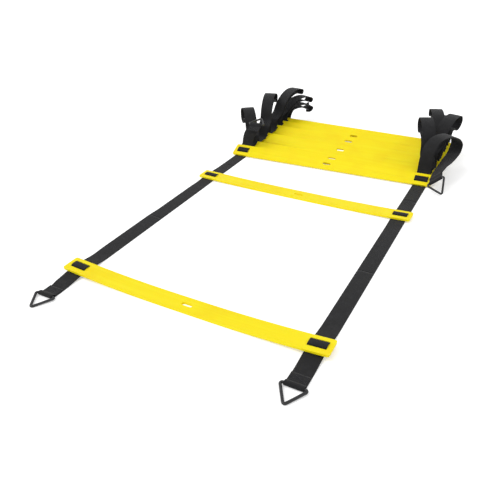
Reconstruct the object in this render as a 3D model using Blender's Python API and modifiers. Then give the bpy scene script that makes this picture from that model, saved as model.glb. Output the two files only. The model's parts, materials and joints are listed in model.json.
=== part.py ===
"""Agility ladder: two rungs laid out on the floor, the rest gathered into a stack. Metres, +Z up.

The ladder lies along +Y, its first rung in front. The left strap is at -X. Webbing is threaded through each
rung: in at the front slot of its window, over the bar, and out at the rear slot.
"""

import math

import bmesh
import bpy
from mathutils import Matrix, Vector

MM = 0.001

# Ladder as a whole
RUNG_PITCH = 457 * MM
SIDES = {"left": -1, "right": 1}

# Webbing
WEBBING_WIDTH = 31 * MM
WEBBING_THICKNESS = 1.5 * MM
WEBBING_CLEARANCE = 0.3 * MM
PASS_CLEARANCE = 0.7 * MM
UNDER_CLEARANCE = 0.6 * MM

# Rungs
RUNG_LENGTH = 513 * MM
RUNG_WIDTH = 37 * MM
RUNG_THICKNESS = 4 * MM
RUNG_CORNER_RADIUS = 5 * MM
RUNG_EDGE_BEVEL = 0.8 * MM
RUNG_END_LIFTS = (9.6 * MM, 4.4 * MM)
RUNG_FLAT_MIDDLE = 60 * MM
BEND_STATIONS = 4
BAR_DEPTH = 9.2 * MM
STRAP_SLOT_DEPTH = 4.5 * MM
STRAP_SLOT_RADIUS = 0.8 * MM
WINDOW_END_MARGIN = 8.3 * MM
WINDOW_SETBACK = 1.5 * MM
CENTRE_SLOT_LENGTH = 20 * MM
CENTRE_SLOT_DEPTH = 4.2 * MM

# Gathered stack, rung 3 at the back: front edges from the stack's front in rung widths, lifts in thicknesses
# of webbing, and each rung's turn about the vertical
STACK_FRONT = 614.2 * MM
STACK_TILT = math.radians(22)
STACK_RUNGS = (3, 4, 5, 6, 7, 8)
STACK_PLACE_SHARES = (6.36, 5.55, 4.37, 2.67, 0.96, 0.0)
STACK_LIFT_SHARES = (2.7, 3.4, 3.4, 2.0, 1.47, 1.47)
STACK_TURNS = tuple(math.radians(angle) for angle in (-0.6, 0.3, -0.4, 0.0, 1.7, 2.4))

# Webbing that the last rung has slid along each strap, which lengthens the rear tail and shortens the bays
DRAWN_THROUGH = {"left": 200 * MM, "right": 330 * MM}

# Folds of the laid-out straps
FOLD_GAP = 0.3 * MM
FRONT_FOLD = 228 * MM
REAR_FOLD = 540 * MM
FOLD_HEIGHT = WEBBING_THICKNESS + FOLD_GAP / 2
RISE_REACH = 60 * MM

# Tails, their sewn loops and the rings
TAIL_LENGTH = 67 * MM
SEWN_LENGTH = 19 * MM
WIRE_DIAMETER = 4.2 * MM
RING_WIDTH = 44 * MM
RING_HEIGHT = 36 * MM
RING_BEND_RADIUS = 3 * MM
RING_CORNER_STEPS = 4
RING_BAR_CLEARANCE = 0.3 * MM

# Facets
WELD_DISTANCE = 0.01 * MM
FLAT_ANGLE = math.radians(0.05)
CORNER_STEPS = 4
SMALL_STEPS = 1
ROUTE_SAMPLES = 12
ROUTE_TWIST = math.radians(16)
ROUTE_TOLERANCE = 0.26 * MM


def material(name, colour, roughness, metallic=0.0):
    made = bpy.data.materials.new(name)
    made.use_nodes = True
    shader = made.node_tree.nodes["Principled BSDF"]
    shader.inputs["Base Color"].default_value = (*colour, 1.0)
    shader.inputs["Roughness"].default_value = roughness
    shader.inputs["Metallic"].default_value = metallic
    return made


def start_scene():
    for old in list(bpy.data.objects):
        bpy.data.objects.remove(old)
    ladder = bpy.data.collections.new("agility_ladder")
    bpy.context.scene.collection.children.link(ladder)
    return ladder


LADDER = start_scene()
YELLOW_PLASTIC = material("moulded_yellow_plastic", (0.95, 0.79, 0.01), 0.45)
BLACK_WEBBING = material("black_webbing", (0.018, 0.018, 0.02), 0.85)
BLACK_WIRE = material("black_coated_wire", (0.02, 0.02, 0.022), 0.4, 0.6)


def put(name, data, finish=None):
    obj = bpy.data.objects.new(name, data)
    LADDER.objects.link(obj)
    if finish:
        data.materials.append(finish)
    return obj


def body(name, place=(0, 0, 0), parent=None):
    """An empty that carries the pieces that move together."""
    empty = put(name, None)
    empty.location = place
    empty.parent = parent
    return empty


def rounded_box(length, depth, radius, steps, centre=(0, 0)):
    """Outline of a rectangle with round corners, counter-clockwise from its lower right."""
    points = []
    for corner, (sx, sy) in enumerate(((1, -1), (1, 1), (-1, 1), (-1, -1))):
        middle = (centre[0] + sx * (length / 2 - radius), centre[1] + sy * (depth / 2 - radius))
        start = math.radians(90 * corner - 90)
        for step in range(steps + 1):
            angle = start + math.radians(90) * step / steps
            points.append((middle[0] + radius * math.cos(angle), middle[1] + radius * math.sin(angle)))
    return points


SLOT_WIDTH = WEBBING_WIDTH + 2 * WEBBING_CLEARANCE
LANE = RUNG_LENGTH / 2 - WINDOW_END_MARGIN - SLOT_WIDTH / 2
SLOT_OFFSET = (BAR_DEPTH + STRAP_SLOT_DEPTH) / 2


def rung_outlines():
    outlines = [rounded_box(RUNG_LENGTH, RUNG_WIDTH, RUNG_CORNER_RADIUS, CORNER_STEPS)]
    outlines.append(rounded_box(CENTRE_SLOT_LENGTH, CENTRE_SLOT_DEPTH, CENTRE_SLOT_DEPTH / 2, CORNER_STEPS))
    for side in SIDES.values():
        for offset in (-SLOT_OFFSET, SLOT_OFFSET):
            centre = (side * LANE, WINDOW_SETBACK + offset)
            slot = rounded_box(SLOT_WIDTH, STRAP_SLOT_DEPTH, STRAP_SLOT_RADIUS, SMALL_STEPS, centre)
            outlines.append(slot)
    return outlines


def bend_height(x, lift):
    """How far the underside stands over the flat middle, at x along the rung."""
    reach = (RUNG_LENGTH - RUNG_FLAT_MIDDLE) / 2
    along = max(0.0, abs(x) - RUNG_FLAT_MIDDLE / 2) / reach
    return lift * along * along


def bend_slope(x, lift):
    reach = (RUNG_LENGTH - RUNG_FLAT_MIDDLE) / 2
    along = max(0.0, abs(x) - RUNG_FLAT_MIDDLE / 2) / reach
    return math.copysign(2 * lift * along / reach, x)


def rung_mesh(name, lift):
    """The flat moulded bar, drawn as an outline with its slots, made solid and bent where it has a lift."""
    outline = bpy.data.curves.new(name + "_outline", "CURVE")
    outline.dimensions = "2D"
    outline.fill_mode = "BOTH"
    outline.extrude = RUNG_THICKNESS / 2
    for points in rung_outlines():
        spline = outline.splines.new("POLY")
        spline.points.add(len(points) - 1)
        for point, (x, y) in zip(spline.points, points):
            point.co = (x, y, 0, 1)
        spline.use_cyclic_u = True
    drawn = put(name + "_outline", outline)
    evaluated = drawn.evaluated_get(bpy.context.evaluated_depsgraph_get())
    mesh = bpy.data.meshes.new_from_object(evaluated)
    bpy.data.objects.remove(drawn)
    mesh.name = name
    solid = bmesh.new()
    solid.from_mesh(mesh)
    bmesh.ops.remove_doubles(solid, verts=solid.verts, dist=WELD_DISTANCE)
    bmesh.ops.translate(solid, verts=solid.verts, vec=(0, 0, RUNG_THICKNESS / 2))
    if lift:
        reach = (RUNG_LENGTH - RUNG_FLAT_MIDDLE) / 2
        for side in SIDES.values():
            for station in range(BEND_STATIONS):
                x = side * (RUNG_FLAT_MIDDLE / 2 + reach * station / BEND_STATIONS)
                parts = solid.verts[:] + solid.edges[:] + solid.faces[:]
                bmesh.ops.bisect_plane(solid, geom=parts, plane_co=(x, 0, 0), plane_no=(1, 0, 0))
        for vert in solid.verts:
            vert.co.z += bend_height(vert.co.x, lift)
        plain = [edge for edge in solid.edges if all(
            CENTRE_SLOT_LENGTH < abs(vert.co.x) < LANE - SLOT_WIDTH / 2 for vert in edge.verts)]
        bmesh.ops.dissolve_limit(solid, angle_limit=FLAT_ANGLE, verts=[], edges=plain)
    bmesh.ops.recalc_face_normals(solid, faces=solid.faces)
    solid.to_mesh(mesh)
    solid.free()
    return mesh


def rung(number, mesh, parent):
    obj = put("rung_%02d" % number, mesh)
    if YELLOW_PLASTIC.name not in mesh.materials:
        mesh.materials.append(YELLOW_PLASTIC)
    obj.parent = parent
    bevel = obj.modifiers.new("moulded_edges", "BEVEL")
    bevel.width = RUNG_EDGE_BEVEL
    bevel.segments = 1
    bevel.limit_method = "ANGLE"
    bevel.angle_limit = math.radians(40)
    return obj


def catmull(points, samples):
    """A smooth curve through the points, by centripetal Catmull-Rom."""
    padded = [points[0]] + points + [points[-1]]
    curve = [points[0]]
    for before, start, end, after in zip(padded, padded[1:], padded[2:], padded[3:]):
        spans = [max((a - b).length, WEBBING_CLEARANCE) ** 0.5 for a, b in
                 ((start, before), (end, start), (after, end))]
        t0, t1 = 0.0, spans[0]
        t2 = t1 + spans[1]
        t3 = t2 + spans[2]
        for step in range(1, samples + 1):
            t = t1 + (t2 - t1) * step / samples
            a1 = before * ((t1 - t) / (t1 - t0)) + start * ((t - t0) / (t1 - t0))
            a2 = start * ((t2 - t) / (t2 - t1)) + end * ((t - t1) / (t2 - t1))
            a3 = end * ((t3 - t) / (t3 - t2)) + after * ((t - t2) / (t3 - t2))
            b1 = a1 * ((t2 - t) / (t2 - t0)) + a2 * ((t - t0) / (t2 - t0))
            b2 = a2 * ((t3 - t) / (t3 - t1)) + a3 * ((t - t1) / (t3 - t1))
            curve.append(b1 * ((t2 - t) / (t2 - t1)) + b2 * ((t - t1) / (t2 - t1)))
    return curve


def strays(route, first, last):
    """True where the route between two samples leaves their chord, or its strap twists, more than allowed."""
    start, end = route[first][0], route[last][0]
    chord = (end - start).normalized()
    if route[first][1].angle(route[last][1]) > ROUTE_TWIST:
        return True
    for place, across in route[first + 1:last]:
        aside = place - start
        if (aside - chord * aside.dot(chord)).length > ROUTE_TOLERANCE:
            return True
    return False


def thinned(route):
    """Leaves out samples where the strap runs nearly straight and flat."""
    kept = [0]
    for index in range(1, len(route) - 1):
        if strays(route, kept[-1], index + 1):
            kept.append(index)
    kept.append(len(route) - 1)
    return [route[index] for index in kept]


def smooth_route(stations):
    """Stations are pairs of a place and the strap's across direction there."""
    places = catmull([place for place, across in stations], ROUTE_SAMPLES)
    acrosses = catmull([across for place, across in stations], ROUTE_SAMPLES)
    return [(place, across.normalized()) for place, across in zip(places, acrosses)]


def route_length(route):
    return sum((b[0] - a[0]).length for a, b in zip(route, route[1:]))


def webbing(name, route, parent):
    """A strap of webbing along a route, as an open band thickened on both sides of its middle."""
    band = bmesh.new()
    rows = []
    for place, across in thinned(route):
        reach = across * (WEBBING_WIDTH / 2)
        rows.append([band.verts.new(place - reach), band.verts.new(place + reach)])
    for (a, b), (c, d) in zip(rows, rows[1:]):
        band.faces.new((a, b, d, c))
    mesh = bpy.data.meshes.new(name)
    band.to_mesh(mesh)
    band.free()
    obj = put(name, mesh, BLACK_WEBBING)
    seat(obj, parent)
    thick = obj.modifiers.new("thickness", "SOLIDIFY")
    thick.thickness = WEBBING_THICKNESS
    thick.offset = 0
    thick.use_even_offset = True
    return obj


# The strap's way over a window's bar, from the bar's middle to the rear lip, as shares of the bar's half
# depth, of the slot's depth and of the thicknesses of rung and webbing
HALF_BAR = BAR_DEPTH / 2
BUTT_GAP = WEBBING_CLEARANCE / 2
OVER_BAR = RUNG_THICKNESS + PASS_CLEARANCE + WEBBING_THICKNESS / 2
UNDER_RUNG = -(UNDER_CLEARANCE + WEBBING_THICKNESS / 2)
SECOND_UNDER = UNDER_RUNG - WEBBING_THICKNESS - WEBBING_CLEARANCE
OVER_PASS = OVER_BAR + WEBBING_THICKNESS + PASS_CLEARANCE
BAR_SHOULDER = (HALF_BAR - WEBBING_THICKNESS / 2, OVER_BAR)
SLOT_SHOULDER = (HALF_BAR + 0.24 * STRAP_SLOT_DEPTH, OVER_BAR - WEBBING_THICKNESS / 3)
SLOT_NECK = (HALF_BAR + 0.47 * STRAP_SLOT_DEPTH, 0.7 * RUNG_THICKNESS)
SLOT_THROAT = (HALF_BAR + 0.52 * STRAP_SLOT_DEPTH, 0.22 * RUNG_THICKNESS)
SLOT_KNEE = (HALF_BAR + 0.64 * STRAP_SLOT_DEPTH, -0.47 * WEBBING_THICKNESS)
SLOT_FOOT = (HALF_BAR + 1.02 * STRAP_SLOT_DEPTH, UNDER_RUNG)
RUNG_BACK = RUNG_WIDTH / 2 - WINDOW_SETBACK
RUNG_FRONT = RUNG_WIDTH / 2 + WINDOW_SETBACK
REAR_WAY = (BAR_SHOULDER, SLOT_SHOULDER, SLOT_NECK, SLOT_THROAT, SLOT_KNEE, SLOT_FOOT,
            (0.75 * RUNG_BACK, UNDER_RUNG), (RUNG_BACK, UNDER_RUNG))


def lane_frame(centre, side, lift=0.0):
    """The frame at a window of a rung whose own frame is centre. Y is across the rung, Z out of its top."""
    x = side * LANE
    bent = Matrix.Translation((x, WINDOW_SETBACK, bend_height(x, lift)))
    bent[2][0] = bend_slope(x, lift)
    return centre @ bent


def on_lane(frame, way):
    """Points of a way, as pairs of (across, up), in a lane frame, with the strap's across direction."""
    across = (frame.to_3x3() @ Vector((1, 0, 0))).normalized()
    return [(frame @ Vector((0, along, up)), across) for along, up in way]


def mirrored(way):
    return [(-along, up) for along, up in reversed(way)]


def stack_frame(index):
    """The frame of a gathered rung, at its centre on its underside."""
    front = STACK_FRONT + STACK_PLACE_SHARES[index] * RUNG_WIDTH
    lift = STACK_LIFT_SHARES[index] * WEBBING_THICKNESS
    half = RUNG_WIDTH / 2
    centre = (0, front + half * math.cos(STACK_TILT), lift + half * math.sin(STACK_TILT))
    turn = Matrix.Rotation(STACK_TURNS[index], 4, "Z")
    return Matrix.Translation(centre) @ turn @ Matrix.Rotation(STACK_TILT, 4, "X")


STACK_FRAMES = {number: stack_frame(index) for index, number in enumerate(STACK_RUNGS)}

# Each gathered bay's webbing leaves its rung's rear edge, rises, droops over to the back, turns in a round
# bight, comes forward above itself and goes down under the next rung. The rungs have slid on the webbing, so
# the bays share it unequally. Per side and bay: its share of the webbing, the height of the upper run over
# the rung's rear edge and the bight's width as shares of the pitch, the mean rise and the bend of the run in
# degrees, and the loop's turn outwards in degrees
BAY_LENGTH_SHARES = {
    "left": {3: 0.78, 4: 0.95, 5: 1.15, 6: 1.15, 7: 0.97},
    "right": {3: 0.78, 4: 0.95, 5: 1.12, 6: 1.13, 7: 1.02},
}
LOOP_LEVEL_SHARES = {
    "left": {3: 0.052, 4: 0.056, 5: 0.061, 6: 0.063, 7: 0.055},
    "right": {3: 0.052, 4: 0.059, 5: 0.065, 6: 0.067, 7: 0.06},
}
BIGHT_WIDTH_SHARES = {
    "left": {3: 0.03, 4: 0.03, 5: 0.03, 6: 0.05, 7: 0.1},
    "right": {3: 0.03, 4: 0.03, 5: 0.04, 6: 0.08, 7: 0.08},
}
LOOP_LEANS = {
    "left": {3: -10, 4: 5, 5: 15, 6: 14, 7: 0},
    "right": {3: -12, 4: 5, 5: 16, 6: 20, 7: 34},
}
LOOP_BENDS = {
    "left": {3: 60, 4: 72, 5: 88, 6: 125, 7: 150},
    "right": {3: 60, 4: 70, 5: 85, 6: 115, 7: 125},
}
LOOP_TURNS = {
    "left": {3: -32, 4: -20, 5: -6, 6: 16, 7: 38},
    "right": {3: 4, 4: -8, 5: -20, 6: 14, 7: -24},
}
LOOP_GAP = 6 * MM
RISE_OFFSET = 9 * MM
DESCENT_OFFSET = 14 * MM
# Places on a loop: (along, up) in rise offsets, shares of its run for the straight parts, angles round the
# bight, and (along, up) in descent offsets
RISE_SHARES = ((0.6, 0.45), (1.0, 1.2))
RUN_SHARES = (0.22, 0.5, 0.75)
BIGHT_ANGLES = tuple(math.radians(angle) for angle in (-70, -25, 25, 70))
DESCENT_SHARES = ((-0.75, -0.3), (-1.0, -0.9))


def loop_profile(run, level, bight, lean, bend, foot, landing):
    """(along, height) of a loop, from behind its rung's rear edge to above the rung's window."""
    low = level - LOOP_GAP
    start = (2 * RISE_OFFSET, (low + level) / 2 + RISE_OFFSET)
    first = lean + bend / 2
    radius = run / bend

    def beside(distance, aside):
        angle = first - distance / radius
        along = radius * (math.sin(first) - math.sin(angle)) - math.sin(angle) * aside
        up = radius * (math.cos(angle) - math.cos(first)) + math.cos(angle) * aside
        return (start[0] + along, start[1] + up)

    def half_width(share):
        return (LOOP_GAP + (bight - LOOP_GAP) * share * share) / 2

    straight = run - bight / 2
    points = [(RISE_OFFSET * along, foot + RISE_OFFSET * up) for along, up in RISE_SHARES]
    points.append((1.05 * RISE_OFFSET, low - 0.6 * RISE_OFFSET))
    points += [beside(straight * share, -half_width(share)) for share in (0,) + RUN_SHARES]
    turn = bight / 2
    points += [beside(straight + turn * math.cos(angle), turn * math.sin(angle)) for angle in BIGHT_ANGLES]
    points += [beside(straight * share, half_width(share)) for share in reversed((0,) + RUN_SHARES)]
    points.append((0, level))
    points += [(DESCENT_OFFSET * along, level + DESCENT_OFFSET * up) for along, up in DESCENT_SHARES]
    points.append((-1.1 * DESCENT_OFFSET, landing + 0.45 * DESCENT_OFFSET))
    return points


def turned_stations(profile, root, turn, foot, level):
    """Sets a profile upright on its root. The strap twists into its turn as it rises from foot to level."""
    stations = []
    for along, height in profile:
        share = min(max((height - foot) / (level - foot), 0.0), 1.0)
        angle = turn * share * share * (3 - 2 * share)
        heading = Vector((math.sin(angle), math.cos(angle), 0))
        place = Vector((root.x, root.y, 0)) + heading * along + Vector((0, 0, height))
        stations.append((place, Vector((math.cos(angle), -math.sin(angle), 0))))
    return stations


def gathered_bay(number, side_name):
    """The webbing from the bar of one gathered rung to the bar of the next, at its full length."""
    side = SIDES[side_name]
    here = lane_frame(STACK_FRAMES[number], side)
    there = lane_frame(STACK_FRAMES[number + 1], side)
    out = on_lane(here, REAR_WAY)
    out.insert(0, on_lane(here, [(BUTT_GAP, OVER_BAR)])[0])
    root = out[-1][0]
    landing = on_lane(here, [(-0.1 * RUNG_BACK, OVER_PASS), (-0.5 * RUNG_BACK, OVER_PASS)])
    into = on_lane(there, [(0.72 * RUNG_BACK, SECOND_UNDER), (0, SECOND_UNDER),
                           (-SLOT_SHOULDER[0], 1.2 * UNDER_RUNG - WEBBING_THICKNESS / 2)])
    into += on_lane(there, mirrored(REAR_WAY[:4]) + [(-BUTT_GAP, OVER_BAR)])
    foot = root.z
    level = foot + LOOP_LEVEL_SHARES[side_name][number] * RUNG_PITCH
    bight = BIGHT_WIDTH_SHARES[side_name][number] * RUNG_PITCH
    lean = math.radians(LOOP_LEANS[side_name][number])
    bend = math.radians(LOOP_BENDS[side_name][number])
    turn = side * math.radians(LOOP_TURNS[side_name][number])
    length = (RUNG_PITCH - DRAWN_THROUGH[side_name] / 5) * BAY_LENGTH_SHARES[side_name][number]
    shortest, longest = 0.05 * RUNG_PITCH, 0.7 * RUNG_PITCH
    for halving in range(24):
        run = (shortest + longest) / 2
        profile = loop_profile(run, level, bight, lean, bend, foot, landing[0][0].z)
        loop = turned_stations(profile, root, turn, foot, level)
        route = smooth_route(out + loop + landing + into)
        if route_length(route) > length:
            longest = run
        else:
            shortest = run
    return route


def laid_height(y, rungs):
    """Height of the strap's middle over the floor: it rises to pass under the raised ends of the rungs."""
    height = WEBBING_THICKNESS / 2
    for centre, lift in rungs:
        near = max(0.0, 1 - abs(y - centre) / RISE_REACH)
        crest = bend_height(LANE - WEBBING_WIDTH / 2, lift) - WEBBING_CLEARANCE - WEBBING_THICKNESS
        height += max(0.0, crest) * near * near * (3 - 2 * near)
    return height


LAID_RUNGS = ((0.0, RUNG_END_LIFTS[0]), (RUNG_PITCH, RUNG_END_LIFTS[1]))
LAID_STEP = RISE_REACH / 8
BAR_RADIUS = WIRE_DIAMETER / 2 + RING_BAR_CLEARANCE + WEBBING_THICKNESS / 2


def laid_route(start, end, side):
    """Stations along the floor from y start to y end."""
    steps = max(2, math.ceil(abs(end - start) / LAID_STEP))
    across = Vector((1, 0, 0))
    stations = []
    for step in range(steps + 1):
        y = start + (end - start) * step / steps
        stations.append((Vector((side * LANE, y, laid_height(y, LAID_RUNGS))), across))
    return stations


def sewn_loop(origin, along, normal, across):
    """The tail's end, round the ring's bar and back onto the strap, where it is sewn, from under the bar."""
    ply = WEBBING_THICKNESS + WEBBING_CLEARANCE
    way = []
    for step in range(9):
        angle = math.radians(-90 + 180 * step / 8)
        way.append((BAR_RADIUS * math.cos(angle), BAR_RADIUS + BAR_RADIUS * math.sin(angle)))
    way += [(-1.1 * BAR_RADIUS, 1.75 * BAR_RADIUS), (-2.4 * BAR_RADIUS, 1.25 * ply), (-3.4 * BAR_RADIUS, ply),
            (-2 * BAR_RADIUS - SEWN_LENGTH, ply)]
    return [(origin + along * a + normal * n, across) for a, n in way]


def ring_curve():
    """Triangle of round wire: its bar lies along X through the origin and its apex is at -Y."""
    wire = bpy.data.curves.new("triangle_wire", "CURVE")
    wire.dimensions = "3D"
    wire.bevel_depth = WIRE_DIAMETER / 2
    wire.bevel_resolution = 2
    corners = [Vector((-RING_WIDTH / 2, 0, 0)), Vector((0, -RING_HEIGHT, 0)), Vector((RING_WIDTH / 2, 0, 0))]
    points = []
    for index, corner in enumerate(corners):
        before = (corners[index - 1] - corner).normalized()
        after = (corners[(index + 1) % 3] - corner).normalized()
        half = before.angle(after) / 2
        middle = corner + (before + after).normalized() * (RING_BEND_RADIUS / math.sin(half))
        first = corner + before * (RING_BEND_RADIUS / math.tan(half)) - middle
        last = corner + after * (RING_BEND_RADIUS / math.tan(half)) - middle
        for step in range(RING_CORNER_STEPS + 1):
            angle = first.angle(last) * step / RING_CORNER_STEPS
            points.append(middle + Matrix.Rotation(angle, 3, first.cross(last)) @ first)
    spline = wire.splines.new("POLY")
    spline.points.add(len(points) - 1)
    for point, place in zip(spline.points, points):
        point.co = (*place, 1)
    spline.use_cyclic_u = True
    wire.materials.append(BLACK_WIRE)
    return wire


def ring(name, wire, hinge, across, towards):
    """A ring on its hinge: its bar along across, its apex towards the given direction."""
    obj = put(name, wire)
    x_axis = across.normalized()
    z_axis = x_axis.cross(-towards).normalized()
    y_axis = z_axis.cross(x_axis)
    turn = Matrix((x_axis, y_axis, z_axis)).transposed().to_4x4()
    obj.matrix_world = Matrix.Translation(hinge) @ turn
    return obj


def seat(obj, parent):
    """Parents an object and keeps its place in the world."""
    bpy.context.view_layer.update()
    obj.parent = parent
    obj.matrix_parent_inverse = parent.matrix_world.inverted()


def front_strap(side_name, parent, wire):
    side = SIDES[side_name]
    across = Vector((1, 0, 0))
    end = -RUNG_WIDTH / 2 - TAIL_LENGTH
    bar_foot = Vector((side * LANE, end, laid_height(end, LAID_RUNGS)))
    loop = sewn_loop(bar_foot, Vector((0, -1, 0)), Vector((0, 0, 1)), across)
    laid = laid_route(FRONT_FOLD - FOLD_GAP / 2, end, side)
    route = smooth_route(laid[:-1]) + smooth_route(loop)
    webbing("strap_%s_front" % side_name, route, parent)
    hinge = bar_foot + Vector((0, 0, BAR_RADIUS))
    droop = math.asin((hinge.z - WIRE_DIAMETER / 2) / RING_HEIGHT)
    towards = Vector((0, -math.cos(droop), -math.sin(droop)))
    seat(ring("ring_front_%s" % side_name, wire, hinge, across, towards), parent)


def stand_on_origin(root):
    """Moves the whole ladder so that the origin is under the middle of its box, on the floor."""
    bpy.context.view_layer.update()
    graph = bpy.context.evaluated_depsgraph_get()
    points = []
    for obj in LADDER.objects:
        if obj.type != "EMPTY":
            evaluated = obj.evaluated_get(graph)
            points += [evaluated.matrix_world @ vert.co for vert in evaluated.to_mesh().vertices]
            evaluated.to_mesh_clear()
    lows, highs = [[pick(point[axis] for point in points) for axis in range(3)] for pick in (min, max)]
    root.location = (-(lows[0] + highs[0]) / 2, -(lows[1] + highs[1]) / 2, -lows[2])


def main():
    root = body("agility_ladder_frame")
    stack = body("stack", parent=root)
    middle_section = body("middle_section", (0, REAR_FOLD, FOLD_HEIGHT), root)
    bpy.context.view_layer.update()
    front_section = body("front_section", (0, FRONT_FOLD, FOLD_HEIGHT))
    seat(front_section, middle_section)
    bpy.context.view_layer.update()

    laid_bodies = {}
    for number, (centre, lift), parent in zip((1, 2), LAID_RUNGS, (front_section, middle_section)):
        carrier = body("rung_%02d_slide" % number, (0, centre, 0))
        seat(carrier, parent)
        bpy.context.view_layer.update()
        obj = rung(number, rung_mesh("bent_rung_%d" % number, lift), None)
        obj.matrix_world = Matrix.Translation((0, centre, 0))
        seat(obj, carrier)
        laid_bodies[number] = carrier

    flat = rung_mesh("flat_rung", 0.0)
    for number in STACK_RUNGS:
        obj = rung(number, flat, None)
        obj.matrix_world = STACK_FRAMES[number]
        seat(obj, stack)

    wire = ring_curve()
    for side_name, side in SIDES.items():
        front_strap(side_name, front_section, wire)
        middle = smooth_route(laid_route(FRONT_FOLD + FOLD_GAP / 2, REAR_FOLD - FOLD_GAP / 2, side))
        webbing("strap_%s_middle" % side_name, middle, middle_section)
        last = lane_frame(STACK_FRAMES[3], side)
        under_stack = STACK_FRONT + STACK_PLACE_SHARES[0] * RUNG_WIDTH - RISE_OFFSET
        rear = laid_route(REAR_FOLD + FOLD_GAP / 2, under_stack, side)
        way = ((BUTT_GAP, OVER_BAR),) + REAR_WAY + ((RUNG_FRONT, UNDER_RUNG),)
        webbing("strap_%s_rear" % side_name, smooth_route(rear + on_lane(last, mirrored(way))), stack)
        for number in STACK_RUNGS[:-1]:
            route = gathered_bay(number, side_name)
            webbing("webbing_%s_bay_%d" % (side_name, number), route, stack)
        rear_tail(side_name, stack, wire)
        for number, (centre, lift) in zip((1, 2), LAID_RUNGS):
            frame = lane_frame(Matrix.Translation((0, centre, 0)), side, lift)
            way = mirrored(REAR_WAY[:4]) + list(REAR_WAY[:4])
            name = "webbing_%s_over_bar_%d" % (side_name, number)
            webbing(name, smooth_route(on_lane(frame, way)), laid_bodies[number])
    stand_on_origin(root)


# Rear tails: the left one stands up behind the front rung of the stack with its ring lying back on the loops,
# the right one arches up and outwards, folds back and comes down over the rungs' ends. Stations from the
# rung's rear edge, as shares of the tail's unit, each with the strap's turn about the vertical and its bank
REAR_TAIL_STATIONS = {
    "left": (((0, 0.1, 0.08), 0, 0), ((0, 0.14, 0.22), 0, 0), ((0.06, 0.15, 0.42), 0, 0),
             ((0.14, 0.17, 0.56), 0, 0), ((0.2, 0.24, 0.66), 1, 0)),
    "right": (((0, 0.08, 0.12), 0, 0), ((0, 0.12, 0.4), 0, 0), ((0.03, 0.2, 0.78), -12, 0),
              ((0.16, 0.42, 1.06), -24, 0), ((0.4, 0.85, 1.1), -30, 0), ((0.6, 1.25, 0.92), -26, 0),
              ((0.67, 1.42, 0.7), -20, 0), ((0.67, 1.25, 0.5), -12, 4), ((0.63, 0.75, 0.43), -4, 10),
              ((0.57, 0.3, 0.38), 3, 20), ((0.5, -0.02, 0.32), 8, 32), ((0.45, -0.305, 0.23), 10, 40)),
}
REAR_BAR_SHARES = {"left": (0.22, 0.38, 0.72), "right": (0.54, -0.7, 0.17)}
REAR_ACROSS = {"left": (3, 0), "right": (10, 40)}
REAR_RING_TOWARDS = {"left": (0, 1, 0.12), "right": (0.55, -0.53, -0.64)}
REAR_TAIL_UNIT = 74 * MM


def turned_across(turn, bank):
    """The strap's across direction, turned about the vertical and banked up, both in degrees."""
    turn, bank = math.radians(turn), math.radians(bank)
    return Vector((math.cos(turn) * math.cos(bank), math.sin(turn) * math.cos(bank), math.sin(bank)))


def rear_tail(side_name, parent, wire):
    side = SIDES[side_name]
    here = lane_frame(STACK_FRAMES[8], side)
    out = on_lane(here, ((BUTT_GAP, OVER_BAR),) + REAR_WAY)
    root = out[-1][0]
    across_end = turned_across(*REAR_ACROSS[side_name])
    stations = []
    for share, turn, bank in REAR_TAIL_STATIONS[side_name]:
        stations.append((root + Vector(share) * REAR_TAIL_UNIT, turned_across(turn, bank)))
    foot = root + Vector(REAR_BAR_SHARES[side_name]) * REAR_TAIL_UNIT
    along = (foot - stations[-1][0]).normalized()
    along = (along - across_end * along.dot(across_end)).normalized()
    normal = across_end.cross(along) * (1 if side_name == "left" else -1)
    if normal.z < 0:
        normal = -normal
    loop = sewn_loop(foot, along, normal, across_end)
    route = smooth_route(out + stations) + smooth_route(loop)
    webbing("webbing_%s_tail" % side_name, route, parent)
    hinge = foot + normal * BAR_RADIUS
    towards = Vector(REAR_RING_TOWARDS[side_name]).normalized()
    towards = (towards - across_end * towards.dot(across_end)).normalized()
    seat(ring("ring_rear_%s" % side_name, wire, hinge, across_end, towards), parent)


main()
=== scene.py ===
"""An agility ladder as its photograph shows it: two rungs laid out, the rest gathered at the far end."""

import json
import math

import bmesh
import bpy
from mathutils import Matrix, Vector

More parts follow.
